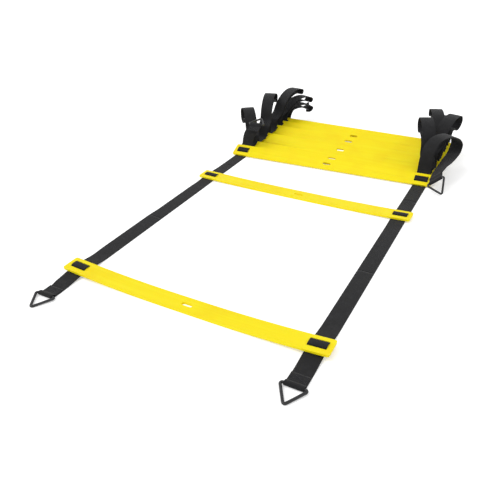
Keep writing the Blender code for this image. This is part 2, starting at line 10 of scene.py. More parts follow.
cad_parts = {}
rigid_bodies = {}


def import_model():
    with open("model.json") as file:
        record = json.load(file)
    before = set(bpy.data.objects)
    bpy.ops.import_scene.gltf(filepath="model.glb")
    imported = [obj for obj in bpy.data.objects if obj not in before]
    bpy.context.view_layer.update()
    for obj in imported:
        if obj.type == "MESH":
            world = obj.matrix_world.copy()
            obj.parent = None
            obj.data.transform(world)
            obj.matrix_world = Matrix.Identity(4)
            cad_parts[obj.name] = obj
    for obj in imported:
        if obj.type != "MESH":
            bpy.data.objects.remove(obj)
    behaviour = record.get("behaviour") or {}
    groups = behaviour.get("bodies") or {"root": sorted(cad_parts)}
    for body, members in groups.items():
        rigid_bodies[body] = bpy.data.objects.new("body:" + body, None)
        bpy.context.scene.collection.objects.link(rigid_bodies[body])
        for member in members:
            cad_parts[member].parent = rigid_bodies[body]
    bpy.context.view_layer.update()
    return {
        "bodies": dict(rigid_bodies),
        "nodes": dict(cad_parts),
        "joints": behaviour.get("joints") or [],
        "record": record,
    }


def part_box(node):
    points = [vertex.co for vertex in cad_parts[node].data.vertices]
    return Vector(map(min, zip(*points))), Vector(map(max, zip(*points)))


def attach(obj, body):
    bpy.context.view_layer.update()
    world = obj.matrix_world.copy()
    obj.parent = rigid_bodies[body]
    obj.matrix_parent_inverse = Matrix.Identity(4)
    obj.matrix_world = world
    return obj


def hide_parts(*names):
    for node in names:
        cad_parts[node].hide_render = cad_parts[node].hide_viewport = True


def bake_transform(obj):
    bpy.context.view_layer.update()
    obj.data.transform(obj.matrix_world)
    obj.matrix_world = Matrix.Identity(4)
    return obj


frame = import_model()


# Camera
# The photograph looks down over the ladder from beyond the right end of its first rung. Its place was fitted
# to the rungs' corners, and is measured from the middle of the first rung, where the ladder's lengths start.
MM = 0.001


def put(name, data):
    """An object in the scene, with its origin at the world's."""
    made = bpy.data.objects.new(name, data)
    bpy.context.scene.collection.objects.link(made)
    return made


rung_low, rung_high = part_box("rung_01")
LADDER_START = Vector(((rung_low[0] + rung_high[0]) / 2, (rung_low[1] + rung_high[1]) / 2, rung_low[2]))
EYE = LADDER_START + Vector((440.7, -583.9, 560.8)) * MM
YAW, PITCH, ROLL = -0.5007, 0.5589, -0.0215
FOCAL_LENGTH_PX = 548.61
PHOTO_SIDE_PX = 500

looking = Vector((math.sin(YAW) * math.cos(PITCH), math.cos(YAW) * math.cos(PITCH), -math.sin(PITCH)))
level_right = looking.cross(Vector((0, 0, 1))).normalized()
level_up = level_right.cross(looking)
right = level_right * math.cos(ROLL) + level_up * math.sin(ROLL)
up = level_up * math.cos(ROLL) - level_right * math.sin(ROLL)
lens = bpy.data.cameras.new("photograph_camera")
lens.lens = lens.sensor_width * FOCAL_LENGTH_PX / PHOTO_SIDE_PX
camera = put("photograph_camera", lens)
camera.matrix_world = Matrix.Translation(EYE) @ Matrix((right, up, -looking)).transposed().to_4x4()
bpy.context.scene.camera = camera
bpy.context.scene.view_settings.view_transform = "Standard"


# Studio floor and light
# A seamless white floor under an even white surround. One large soft light stands high in front on the left,
# so that the straps and the stack throw a faint grey shadow to their right. The camera and glossy surfaces
# see the paper brighter than it lights, as an evenly lit sweep looks.
def linear(hex_colour):
    """An sRGB hex colour as linear red, green and blue, with alpha 1."""
    parts = [int(hex_colour[start:start + 2], 16) / 255 for start in (1, 3, 5)]
    return tuple(c / 12.92 if c <= 0.04045 else ((c + 0.055) / 1.055) ** 2.4 for c in parts) + (1.0,)


def add_node(tree, kind, inputs=(), **settings):
    """Adds a node. Settings are its properties, inputs its sockets' values or the sockets that feed them."""
    added = tree.nodes.new(kind)
    for name, value in settings.items():
        setattr(added, name, value)
    for name, value in dict(inputs).items():
        if isinstance(value, bpy.types.NodeSocket):
            tree.links.new(value, added.inputs[name])
        else:
            added.inputs[name].default_value = value
    return added


def new_material(name):
    """A material with its node tree and its shader."""
    material = bpy.data.materials.new(name)
    material.use_nodes = True
    return material, material.node_tree, material.node_tree.nodes["Principled BSDF"]


def looked_at(tree):
    """1 on what the camera or a glossy surface sees, 0 on what only gives light."""
    rays = add_node(tree, "ShaderNodeLightPath")
    seen = add_node(tree, "ShaderNodeMath", {
        0: rays.outputs["Is Camera Ray"], 1: rays.outputs["Is Glossy Ray"]}, operation="ADD")
    return seen.outputs["Value"]


FLOOR_SIDE = 40
SWEEP_GLOW = 0.34
SURROUND_SHARE = 0.8
LAMP_SHARE = 0.22
LAMP_HEIGHT_ANGLE = math.radians(52)
LAMP_SIDE_ANGLE = math.radians(214)
LAMP_SOFTNESS = math.radians(34)

paper, tree, shader = new_material("matt_white_studio_paper")
shader.inputs["Base Color"].default_value = linear("#FDFDFD")
shader.inputs["Roughness"].default_value = 0.95
shader.inputs["Specular IOR Level"].default_value = 0.0
shader.inputs["Emission Color"].default_value = linear("#FFFFFF")
glow = add_node(tree, "ShaderNodeMath", {0: looked_at(tree), 1: SWEEP_GLOW}, operation="MULTIPLY")
tree.links.new(glow.outputs["Value"], shader.inputs["Emission Strength"])
floor_mesh = bpy.data.meshes.new("studio_floor")
corners = [(x * FLOOR_SIDE / 2, y * FLOOR_SIDE / 2, 0) for x, y in ((-1, -1), (1, -1), (1, 1), (-1, 1))]
floor_mesh.from_pydata(corners, [], [(0, 1, 2, 3)])
floor_mesh.materials.append(paper)
studio_floor = put("studio_floor", floor_mesh)

surround = bpy.data.worlds.new("white_surround")
surround.use_nodes = True
tree = surround.node_tree
strength = add_node(tree, "ShaderNodeMapRange", {
    "Value": looked_at(tree), "To Min": SURROUND_SHARE, "To Max": 1.0})
tree.nodes["Background"].inputs["Color"].default_value = linear("#FFFFFF")
tree.links.new(strength.outputs["Result"], tree.nodes["Background"].inputs["Strength"])
bpy.context.scene.world = surround

lamp_data = bpy.data.lights.new("large_soft_lamp", "SUN")
lamp_data.angle = LAMP_SOFTNESS
lamp_data.energy = math.pi * LAMP_SHARE / math.sin(LAMP_HEIGHT_ANGLE)
lamp = put("large_soft_lamp", lamp_data)
lamp.rotation_euler = (0, math.pi / 2 - LAMP_HEIGHT_ANGLE, LAMP_SIDE_ANGLE)


# Rungs
# Flat bars of injection-moulded polypropylene, yellow all through, with rounded edges, two windows for the
# webbing and a small slot. Two lie laid out with their ends a little raised, and the others lean on one another
# in the stack. The slot is deeper and the corners tighter than the solids', as in the photograph.
RUNG_LENGTH = 513 * MM
RUNG_WIDTH = 37 * MM
RUNG_THICKNESS = 4 * MM
RUNG_CORNER_RADIUS = 4 * MM
RUNG_EDGE_RADIUS = 0.9 * MM
RUNG_END_LIFTS = (9.6 * MM, 4.4 * MM)
RUNG_FLAT_MIDDLE = 60 * MM
BEND_REACH = (RUNG_LENGTH - RUNG_FLAT_MIDDLE) / 2
RUNG_PITCH = 457 * MM
BEND_CUTS = 20
EDGE_SEGMENTS = 3
SHARP_ANGLE = math.radians(40)
BAR_DEPTH = 9.2 * MM
STRAP_SLOT_DEPTH = 4.5 * MM
STRAP_SLOT_RADIUS = 0.8 * MM
WINDOW_END_MARGIN = 8.3 * MM
WINDOW_SETBACK = 1.5 * MM
CENTRE_SLOT_LENGTH = 21 * MM
CENTRE_SLOT_DEPTH = 7.4 * MM
WEBBING_WIDTH = 31 * MM
WEBBING_THICKNESS = 1.5 * MM
WEBBING_CLEARANCE = 0.3 * MM
SLOT_WIDTH = WEBBING_WIDTH + 2 * WEBBING_CLEARANCE
LANE = RUNG_LENGTH / 2 - WINDOW_END_MARGIN - SLOT_WIDTH / 2
SIDES = {"left": -1, "right": 1}
WELD_DISTANCE = 0.01 * MM

# The gathered stack, rung 3 at the back: front edges from the stack's front in rung widths, lifts in
# thicknesses of webbing, and each rung's turn about the vertical
STACK_FRONT = 614.2 * MM
STACK_TILT = math.radians(22)
STACK_RUNGS = (3, 4, 5, 6, 7, 8)
STACK_PLACE_SHARES = (6.36, 5.55, 4.37, 2.67, 0.96, 0.0)
STACK_LIFT_SHARES = (2.7, 3.4, 3.4, 2.0, 1.47, 1.47)
STACK_TURNS = tuple(math.radians(angle) for angle in (-0.6, 0.3, -0.4, 0.0, 1.7, 2.4))

# Moulded polypropylene gives a soft, even shine, faint flow lines along the bar and a very fine grain, which
# is drawn coarser than it is, so that it shows. A little light passes into it, so that its thin edges look
# warmer than its faces. The lighter yellow streaks of the flow lines are partly painted reflection along the
# bar.
PLASTIC_YELLOW = "#FCE500"
PLASTIC_FLOW_AND_REFLECTION_YELLOW = "#FFEC1C"
PLASTIC_DEEP_YELLOW = "#F6D400"
FLOW_LINE_MM = 5.0
FLOW_STRETCH = 60.0
PLASTIC_GRAIN_MM = 0.9
SCUFF_MM = 14.0
LIGHT_DEPTH_MM = 3.0

plastic, tree, shader = new_material("moulded_yellow_polypropylene")
place = add_node(tree, "ShaderNodeTexCoord").outputs["Object"]
along_bar = add_node(tree, "ShaderNodeMapping", {"Vector": place, "Scale": (1 / FLOW_STRETCH, 1, 0.3)})
flow = add_node(tree, "ShaderNodeTexNoise", {
    "Vector": along_bar.outputs["Vector"], "Scale": 1 / (FLOW_LINE_MM * MM), "Detail": 3.0, "Roughness": 0.6})
# Lighter yellow streaks along the bar: flow lines, and partly a painted reflection
flow_and_reflection_band = add_node(tree, "ShaderNodeMapRange", {
    "Value": flow.outputs["Fac"], "From Min": 0.4, "From Max": 0.68, "To Min": 0.0, "To Max": 0.75})
streaked_with_reflection = add_node(tree, "ShaderNodeMix", {
    0: flow_and_reflection_band.outputs["Result"], 6: linear(PLASTIC_YELLOW), 7: linear(PLASTIC_FLOW_AND_REFLECTION_YELLOW)},
    data_type="RGBA")
cloud = add_node(tree, "ShaderNodeTexNoise", {
    "Vector": place, "Scale": 1 / (4 * SCUFF_MM * MM), "Detail": 2.0})
cloud_band = add_node(tree, "ShaderNodeMapRange", {
    "Value": cloud.outputs["Fac"], "From Min": 0.45, "From Max": 0.8, "To Min": 0.0, "To Max": 0.55})
coloured = add_node(tree, "ShaderNodeMix", {
    0: cloud_band.outputs["Result"], 6: streaked_with_reflection.outputs[2], 7: linear(PLASTIC_DEEP_YELLOW)},
    data_type="RGBA")
scuff = add_node(tree, "ShaderNodeTexNoise", {
    "Vector": along_bar.outputs["Vector"], "Scale": 1 / (SCUFF_MM * MM), "Detail": 6.0, "Roughness": 0.75})
shine = add_node(tree, "ShaderNodeMapRange", {
    "Value": scuff.outputs["Fac"], "From Min": 0.3, "From Max": 0.75, "To Min": 0.4, "To Max": 0.6})
grain = add_node(tree, "ShaderNodeTexNoise", {
    "Vector": place, "Scale": 1 / (PLASTIC_GRAIN_MM * MM), "Detail": 2.0})
relief = add_node(tree, "ShaderNodeMath", {0: grain.outputs["Fac"], 1: flow.outputs["Fac"]}, operation="ADD")
bump = add_node(tree, "ShaderNodeBump", {
    "Height": relief.outputs["Value"], "Strength": 0.12, "Distance": 0.3 * MM})
tree.links.new(coloured.outputs[2], shader.inputs["Base Color"])
tree.links.new(shine.outputs["Result"], shader.inputs["Roughness"])
tree.links.new(bump.outputs["Normal"], shader.inputs["Normal"])
shader.inputs["IOR"].default_value = 1.49
shader.inputs["Specular IOR Level"].default_value = 0.22
shader.inputs["Subsurface Weight"].default_value = 0.25
shader.inputs["Subsurface Radius"].default_value = (1.0, 0.72, 0.08)
shader.inputs["Subsurface Scale"].default_value = LIGHT_DEPTH_MM * MM


def rounded_box(length, depth, radius, steps, centre=(0, 0)):
    """Outline of a rectangle with round corners."""
    points = []
    for corner, (sx, sy) in enumerate(((1, -1), (1, 1), (-1, 1), (-1, -1))):
        middle = (centre[0] + sx * (length / 2 - radius), centre[1] + sy * (depth / 2 - radius))
        for step in range(steps + 1):
            angle = math.radians(90 * (corner - 1 + step / steps))
            points.append((middle[0] + radius * math.cos(angle), middle[1] + radius * math.sin(angle)))
    return points


def bend_height(x, lift):
    """How far the underside stands over the flat middle, at x along the rung."""
    along = max(0.0, abs(x) - RUNG_FLAT_MIDDLE / 2) / BEND_REACH
    return lift * along * along


def rung_outlines():
    """The rung's outline, its middle slot and the two strap slots of each window."""
    slot_offset = (BAR_DEPTH + STRAP_SLOT_DEPTH) / 2
    outlines = [rounded_box(RUNG_LENGTH, RUNG_WIDTH, RUNG_CORNER_RADIUS, 8)]
    outlines.append(rounded_box(CENTRE_SLOT_LENGTH, CENTRE_SLOT_DEPTH, CENTRE_SLOT_DEPTH / 2, 8))
    for side in SIDES.values():
        for offset in (-slot_offset, slot_offset):
            centre = (side * LANE, WINDOW_SETBACK + offset)
            outlines.append(rounded_box(SLOT_WIDTH, STRAP_SLOT_DEPTH, STRAP_SLOT_RADIUS, 3, centre))
    return outlines


def mould_rung(name, lift):
    """The bar filled from its outlines, bent up at its ends where it has a lift, with its edges rounded."""
    outline = bpy.data.curves.new(name + "_outline", "CURVE")
    outline.dimensions, outline.fill_mode, outline.extrude = "2D", "BOTH", RUNG_THICKNESS / 2
    for points in rung_outlines():
        spline = outline.splines.new("POLY")
        spline.points.add(len(points) - 1)
        for point, (x, y) in zip(spline.points, points):
            point.co = (x, y, 0, 1)
        spline.use_cyclic_u = True
    drawn = put(name + "_outline", outline)
    mesh = bpy.data.meshes.new_from_object(drawn.evaluated_get(bpy.context.evaluated_depsgraph_get()))
    bpy.data.objects.remove(drawn)
    solid = bmesh.new()
    solid.from_mesh(mesh)
    bmesh.ops.remove_doubles(solid, verts=solid.verts, dist=WELD_DISTANCE)
    bmesh.ops.translate(solid, verts=solid.verts, vec=(0, 0, RUNG_THICKNESS / 2))
    if lift:
        for side in SIDES.values():
            for cut in range(BEND_CUTS):
                x = side * (RUNG_FLAT_MIDDLE / 2 + BEND_REACH * cut / BEND_CUTS)
                parts = solid.verts[:] + solid.edges[:] + solid.faces[:]
                bmesh.ops.bisect_plane(solid, geom=parts, plane_co=(x, 0, 0), plane_no=(1, 0, 0))
        for vert in solid.verts:
            vert.co.z += bend_height(vert.co.x, lift)
    bmesh.ops.recalc_face_normals(solid, faces=solid.faces)
    for face in solid.faces:
        face.smooth = True
    solid.to_mesh(mesh)
    solid.free()
    moulded = put(name, mesh)
    bevel = moulded.modifiers.new("moulded_edges", "BEVEL")
    bevel.width, bevel.segments = RUNG_EDGE_RADIUS, EDGE_SEGMENTS
    bevel.limit_method, bevel.angle_limit = "ANGLE", SHARP_ANGLE
    bevel.harden_normals = True
    finished = bpy.data.meshes.new_from_object(moulded.evaluated_get(bpy.context.evaluated_depsgraph_get()))
    bpy.data.objects.remove(moulded)
    finished.materials.clear()
    finished.materials.append(plastic)
    return finished


def stack_frame(index):
    """The frame of a gathered rung, at its centre on its underside."""
    front = STACK_FRONT + STACK_PLACE_SHARES[index] * RUNG_WIDTH
    lift = STACK_LIFT_SHARES[index] * WEBBING_THICKNESS
    half = RUNG_WIDTH / 2
    centre = (0, front + half * math.cos(STACK_TILT), lift + half * math.sin(STACK_TILT))
    turn = Matrix.Rotation(STACK_TURNS[index], 4, "Z")
    return Matrix.Translation(centre) @ turn @ Matrix.Rotation(STACK_TILT, 4, "X")


STACK_FRAMES = {number: stack_frame(index) for index, number in enumerate(STACK_RUNGS)}
LAID_RUNGS = ((0.0, RUNG_END_LIFTS[0]), (RUNG_PITCH, RUNG_END_LIFTS[1]))


def lay_rung(number, body, frame_at, lift):
    """Moulds a rung, lays it at its frame and puts it on its body."""
    mesh = mould_rung("rung_%02d_moulded" % number, lift)
    mesh.transform(Matrix.Translation(LADDER_START) @ frame_at)
    rung = put("rung_%02d_moulded" % number, mesh)
    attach(rung, body)
    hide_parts("rung_%02d" % number)


for number, body, (centre, lift) in zip((1, 2), ("rung_one", "rung_two"), LAID_RUNGS):
    lay_rung(number, body, Matrix.Translation((0, centre, 0)), lift)
for number in STACK_RUNGS:
    lay_rung(number, "stack", STACK_FRAMES[number], 0.0)


# Webbing
# Two straps of flat woven polyester, black, 31 mm wide. Each is threaded through the rungs: up through the
# front slot of a window, over its bar, and down through the rear slot. The weave is a fine twill with two
# firm edges. Sizes and routes are the solids' own, measured from the first rung, but for the left strap's bank.
PASS_CLEARANCE = 0.7 * MM
UNDER_CLEARANCE = 0.6 * MM
TAIL_LENGTH = 67 * MM
SEWN_LENGTH = 19 * MM
WIRE_DIAMETER = 4.2 * MM
RING_BAR_CLEARANCE = 0.3 * MM
ROUTE_SAMPLES = 12

# Webbing that the last rung has slid along each strap, which lengthens the rear tail and shortens the bays
DRAWN_THROUGH = {"left": 200 * MM, "right": 330 * MM}

FRONT_FOLD = 228 * MM
REAR_FOLD = 540 * MM
RISE_REACH = 60 * MM


def bend_slope(x, lift):
    """How steeply the underside rises at x along the rung."""
    along = max(0.0, abs(x) - RUNG_FLAT_MIDDLE / 2) / BEND_REACH
    return math.copysign(2 * lift * along / BEND_REACH, x)


def catmull(points):
    """A smooth curve through the points, by centripetal Catmull-Rom."""
    padded = [points[0]] + points + [points[-1]]
    curve = [points[0]]
    for before, start, end, after in zip(padded, padded[1:], padded[2:], padded[3:]):
        spans = [max((a - b).length, WEBBING_CLEARANCE) ** 0.5 for a, b in
                 ((start, before), (end, start), (after, end))]
        t0, t1 = 0.0, spans[0]
        t2 = t1 + spans[1]
        t3 = t2 + spans[2]
        for step in range(1, ROUTE_SAMPLES + 1):
            t = t1 + (t2 - t1) * step / ROUTE_SAMPLES
            a1 = before * ((t1 - t) / (t1 - t0)) + start * ((t - t0) / (t1 - t0))
            a2 = start * ((t2 - t) / (t2 - t1)) + end * ((t - t1) / (t2 - t1))
            a3 = end * ((t3 - t) / (t3 - t2)) + after * ((t - t2) / (t3 - t2))
            b1 = a1 * ((t2 - t) / (t2 - t0)) + a2 * ((t - t0) / (t2 - t0))
            b2 = a2 * ((t3 - t) / (t3 - t1)) + a3 * ((t - t1) / (t3 - t1))
            curve.append(b1 * ((t2 - t) / (t2 - t1)) + b2 * ((t - t1) / (t2 - t1)))
    return curve


def smooth_route(stations):
    """A smooth route through stations, which are pairs of a place and the strap's across direction there."""
    places = catmull([place for place, across in stations])
    acrosses = catmull([across for place, across in stations])
    return [(place, across.normalized()) for place, across in zip(places, acrosses)]


def route_length(route):
    """The length along a route."""
    return sum((b[0] - a[0]).length for a, b in zip(route, route[1:]))


# The strap's way over a window's bar, from the bar's middle to the rear lip, as shares of the bar's half
# depth, of the slot's depth and of the thicknesses of rung and webbing
HALF_BAR = BAR_DEPTH / 2
BUTT_GAP = WEBBING_CLEARANCE / 2
OVER_BAR = RUNG_THICKNESS + PASS_CLEARANCE + WEBBING_THICKNESS / 2
UNDER_RUNG = -(UNDER_CLEARANCE + WEBBING_THICKNESS / 2)
SECOND_UNDER = UNDER_RUNG - WEBBING_THICKNESS - WEBBING_CLEARANCE
OVER_PASS = OVER_BAR + WEBBING_THICKNESS + PASS_CLEARANCE
BAR_SHOULDER = (HALF_BAR - WEBBING_THICKNESS / 2, OVER_BAR)
SLOT_SHOULDER = (HALF_BAR + 0.24 * STRAP_SLOT_DEPTH, OVER_BAR - WEBBING_THICKNESS / 3)
SLOT_NECK = (HALF_BAR + 0.47 * STRAP_SLOT_DEPTH, 0.7 * RUNG_THICKNESS)
SLOT_THROAT = (HALF_BAR + 0.52 * STRAP_SLOT_DEPTH, 0.22 * RUNG_THICKNESS)
SLOT_KNEE = (HALF_BAR + 0.64 * STRAP_SLOT_DEPTH, -0.47 * WEBBING_THICKNESS)
SLOT_FOOT = (HALF_BAR + 1.02 * STRAP_SLOT_DEPTH, UNDER_RUNG)
RUNG_BACK = RUNG_WIDTH / 2 - WINDOW_SETBACK
RUNG_FRONT = RUNG_WIDTH / 2 + WINDOW_SETBACK
REAR_WAY = (BAR_SHOULDER, SLOT_SHOULDER, SLOT_NECK, SLOT_THROAT, SLOT_KNEE, SLOT_FOOT,
            (0.75 * RUNG_BACK, UNDER_RUNG), (RUNG_BACK, UNDER_RUNG))
FROM_BAR = ((BUTT_GAP, OVER_BAR),) + REAR_WAY
# A loop comes down on the strap over its own bar, and then passes under the next rung, below that one's strap
LANDING_WAY = ((-0.1 * RUNG_BACK, OVER_PASS), (-0.5 * RUNG_BACK, OVER_PASS))
SECOND_WAY = ((0.72 * RUNG_BACK, SECOND_UNDER), (0, SECOND_UNDER),
              (-SLOT_SHOULDER[0], 1.2 * UNDER_RUNG - WEBBING_THICKNESS / 2))


def lane_frame(centre, side, lift=0.0):
    """The frame at a window of a rung whose own frame is centre. Y is across the rung, Z out of its top."""
    x = side * LANE
    bent = Matrix.Translation((x, WINDOW_SETBACK, bend_height(x, lift)))
    bent[2][0] = bend_slope(x, lift)
    return centre @ bent


def on_lane(frame, way):
    """Points of a way, as pairs of (across, up), in a lane frame, with the strap's across direction."""
    across = (frame.to_3x3() @ Vector((1, 0, 0))).normalized()
    return [(frame @ Vector((0, along, up)), across) for along, up in way]


def mirrored(way):
    """The way from the front lip to the bar's middle that matches one from the middle to the rear lip."""
    return [(-along, up) for along, up in reversed(way)]


# Each gathered bay's webbing leaves its rung's rear edge, rises, droops over to the back, turns in a round
# bight, comes forward above itself and goes down under the next rung. The rungs have slid on the webbing, so
# the bays share it unequally. Per side and bay: its share of the webbing, the height of the upper run over
# the rung's rear edge and the bight's width as shares of the pitch, the mean rise and the bend of the run in
# degrees, and the loop's turn outwards in degrees
BAY_LENGTH_SHARES = {
    "left": {3: 0.78, 4: 0.95, 5: 1.15, 6: 1.15, 7: 0.97},
    "right": {3: 0.78, 4: 0.95, 5: 1.12, 6: 1.13, 7: 1.02},
}
LOOP_LEVEL_SHARES = {
    "left": {3: 0.052, 4: 0.056, 5: 0.061, 6: 0.063, 7: 0.055},
    "right": {3: 0.052, 4: 0.059, 5: 0.065, 6: 0.067, 7: 0.06},
}
BIGHT_WIDTH_SHARES = {
    "left": {3: 0.03, 4: 0.03, 5: 0.03, 6: 0.05, 7: 0.1},
    "right": {3: 0.03, 4: 0.03, 5: 0.04, 6: 0.08, 7: 0.08},
}
LOOP_LEANS = {
    "left": {3: -10, 4: 5, 5: 15, 6: 14, 7: 0},
    "right": {3: -12, 4: 5, 5: 16, 6: 20, 7: 34},
}
LOOP_BENDS = {
    "left": {3: 60, 4: 72, 5: 88, 6: 125, 7: 150},
    "right": {3: 60, 4: 70, 5: 85, 6: 115, 7: 125},
}
LOOP_TURNS = {
    "left": {3: -32, 4: -20, 5: -6, 6: 16, 7: 38},
    "right": {3: 4, 4: -8, 5: -20, 6: 14, 7: -24},
}
LOOP_RUN_LIMITS = (0.05 * RUNG_PITCH, 0.7 * RUNG_PITCH)
LOOP_RUN_HALVINGS = 24
LOOP_GAP = 6 * MM
RISE_OFFSET = 9 * MM
DESCENT_OFFSET = 14 * MM
# Places on a loop: (along, up) in rise offsets, from the foot and then from the lower run, shares of its run
# for the straight parts, angles round the bight, and (along, up) in descent offsets, from the upper run and
# then from the landing
RISE_SHARES = ((0.6, 0.45), (1.0, 1.2))
RISE_TOP_SHARES = (1.05, -0.6)
RUN_SHARES = (0.22, 0.5, 0.75)
BIGHT_ANGLES = tuple(math.radians(angle) for angle in (-70, -25, 25, 70))
DESCENT_SHARES = ((-0.75, -0.3), (-1.0, -0.9))
DESCENT_FOOT_SHARES = (-1.1, 0.45)


def loop_profile(run, level, bight, lean, bend, foot, landing):
    """(along, height) of a loop, from behind its rung's rear edge to above the rung's window."""
    low = level - LOOP_GAP
    start = (2 * RISE_OFFSET, (low + level) / 2 + RISE_OFFSET)
    first = lean + bend / 2
    radius = run / bend

    def beside(distance, aside):
        """A place at a distance along the bent run, and aside from its middle line."""
        angle = first - distance / radius
        along = radius * (math.sin(first) - math.sin(angle)) - math.sin(angle) * aside
        up = radius * (math.cos(angle) - math.cos(first)) + math.cos(angle) * aside
        return (start[0] + along, start[1] + up)

    def half_width(share):
        """Half the loop's width, which opens from the gap to the bight."""
        return (LOOP_GAP + (bight - LOOP_GAP) * share * share) / 2

    straight = run - bight / 2
    points = [(RISE_OFFSET * along, foot + RISE_OFFSET * up) for along, up in RISE_SHARES]
    along, up = RISE_TOP_SHARES
    points.append((RISE_OFFSET * along, low + RISE_OFFSET * up))
    points += [beside(straight * share, -half_width(share)) for share in (0,) + RUN_SHARES]
    turn = bight / 2
    points += [beside(straight + turn * math.cos(angle), turn * math.sin(angle)) for angle in BIGHT_ANGLES]
    points += [beside(straight * share, half_width(share)) for share in reversed((0,) + RUN_SHARES)]
    points.append((0, level))
    points += [(DESCENT_OFFSET * along, level + DESCENT_OFFSET * up) for along, up in DESCENT_SHARES]
    along, up = DESCENT_FOOT_SHARES
    points.append((DESCENT_OFFSET * along, landing + DESCENT_OFFSET * up))
    return points


def turned_stations(profile, root, turn, foot, level):
    """Sets a profile upright on its root. The strap twists into its turn as it rises from foot to level."""
    stations = []
    for along, height in profile:
        share = min(max((height - foot) / (level - foot), 0.0), 1.0)
        angle = turn * share * share * (3 - 2 * share)
        heading = Vector((math.sin(angle), math.cos(angle), 0))
        place = Vector((root.x, root.y, 0)) + heading * along + Vector((0, 0, height))
        stations.append((place, Vector((math.cos(angle), -math.sin(angle), 0))))
    return stations


def gathered_bay(number, side_name):
    """The webbing from the bar of one gathered rung to the bar of the next. Its loop's run is found by
    halving, so that the whole has the bay's length."""
    side = SIDES[side_name]
    here = lane_frame(STACK_FRAMES[number], side)
    there = lane_frame(STACK_FRAMES[number + 1], side)
    out = on_lane(here, FROM_BAR)
    root = out[-1][0]
    landing = on_lane(here, LANDING_WAY)
    into = on_lane(there, SECOND_WAY) + on_lane(there, mirrored(REAR_WAY[:4]) + [(-BUTT_GAP, OVER_BAR)])
    foot = root.z
    level = foot + LOOP_LEVEL_SHARES[side_name][number] * RUNG_PITCH
    bight = BIGHT_WIDTH_SHARES[side_name][number] * RUNG_PITCH
    lean = math.radians(LOOP_LEANS[side_name][number])
    bend = math.radians(LOOP_BENDS[side_name][number])
    turn = side * math.radians(LOOP_TURNS[side_name][number])
    drawn = DRAWN_THROUGH[side_name] / (len(STACK_RUNGS) - 1)
    length = (RUNG_PITCH - drawn) * BAY_LENGTH_SHARES[side_name][number]
    shortest, longest = LOOP_RUN_LIMITS
    for _ in range(LOOP_RUN_HALVINGS):
        run = (shortest + longest) / 2
        profile = loop_profile(run, level, bight, lean, bend, foot, landing[0][0].z)
        loop = turned_stations(profile, root, turn, foot, level)
        route = smooth_route(out + loop + landing + into)
        if route_length(route) > length:
            longest = run
        else:
            shortest = run
    return route


def laid_height(y, rungs):
    """Height of the strap's middle over the floor: it rises to pass under the raised ends of the rungs."""
    height = WEBBING_THICKNESS / 2
    for centre, lift in rungs:
        near = max(0.0, 1 - abs(y - centre) / RISE_REACH)
        crest = bend_height(LANE - WEBBING_WIDTH / 2, lift) - WEBBING_CLEARANCE - WEBBING_THICKNESS
        height += max(0.0, crest) * near * near * (3 - 2 * near)
    return height


LAID_STEP = RISE_REACH / 8
BAR_RADIUS = WIRE_DIAMETER / 2 + RING_BAR_CLEARANCE + WEBBING_THICKNESS / 2
SEWN_PLY = WEBBING_THICKNESS + WEBBING_CLEARANCE
TURN_STEPS = 8
SEWN_WAY = ((-1.1 * BAR_RADIUS, 1.75 * BAR_RADIUS), (-2.4 * BAR_RADIUS, 1.25 * SEWN_PLY),
            (-3.4 * BAR_RADIUS, SEWN_PLY), (-2 * BAR_RADIUS - SEWN_LENGTH, SEWN_PLY))

# The left strap doesn't lie quite flat: the bent rungs hold its outer edge up a little. Its bank in degrees
# at places along the ladder in millimetres
LEFT_BANKS = ((-60, 0.0), (-46, 4.0), (36, 4.0), (80, 6.5), (220, 6.5),
              (262, 3.2), (385, 3.2), (425, 1.5), (490, 1.5), (530, 0.0))


def bank_at(y, side):
    """The strap's bank at y along the ladder, eased between the places of the list."""
    place = y / MM
    if side > 0 or not LEFT_BANKS[0][0] < place < LEFT_BANKS[-1][0]:
        return 0.0
    for (start, before), (end, after) in zip(LEFT_BANKS, LEFT_BANKS[1:]):
        if place <= end:
            share = (place - start) / (end - start)
            return math.radians(before + (after - before) * share * share * (3 - 2 * share))


def laid_route(start, end, side):
    """Stations along the floor from y start to y end."""
    steps = max(2, math.ceil(abs(end - start) / LAID_STEP))
    stations = []
    for step in range(steps + 1):
        y = start + (end - start) * step / steps
        bank = bank_at(y, side)
        height = laid_height(y, LAID_RUNGS) + WEBBING_WIDTH / 2 * math.sin(bank)
        across = Vector((math.cos(bank), 0, side * math.sin(bank)))
        stations.append((Vector((side * LANE, y, height)), across))
    return stations


def sewn_loop(foot, along, normal, across):
    """The strap's end, round the ring's bar and back onto itself, where it is sewn, from under the bar. Its
    frame is the place under the bar, the strap's direction there, its face's normal and the way across."""
    way = []
    for step in range(TURN_STEPS + 1):
        angle = math.radians(-90 + 180 * step / TURN_STEPS)
        way.append((BAR_RADIUS * math.cos(angle), BAR_RADIUS + BAR_RADIUS * math.sin(angle)))
    return [(foot + along * a + normal * n, across) for a, n in way + list(SEWN_WAY)]


# Rear tails: the left one stands up behind the front rung of the stack with its ring lying back on the loops,
# the right one arches up and outwards, folds back and comes down over the rungs' ends. Stations from the
# rung's rear edge, as shares of the tail's unit, each with the strap's turn about the vertical and its bank
REAR_TAIL_STATIONS = {
    "left": (((0, 0.1, 0.08), 0, 0), ((0, 0.14, 0.22), 0, 0), ((0.06, 0.15, 0.42), 0, 0),
             ((0.14, 0.17, 0.56), 0, 0), ((0.2, 0.24, 0.66), 1, 0)),
    "right": (((0, 0.08, 0.12), 0, 0), ((0, 0.12, 0.4), 0, 0), ((0.03, 0.2, 0.78), -12, 0),
              ((0.16, 0.42, 1.06), -24, 0), ((0.4, 0.85, 1.1), -30, 0), ((0.6, 1.25, 0.92), -26, 0),
              ((0.67, 1.42, 0.7), -20, 0), ((0.67, 1.25, 0.5), -12, 4), ((0.63, 0.75, 0.43), -4, 10),
              ((0.57, 0.3, 0.38), 3, 20), ((0.5, -0.02, 0.32), 8, 32), ((0.45, -0.305, 0.23), 10, 40)),
}
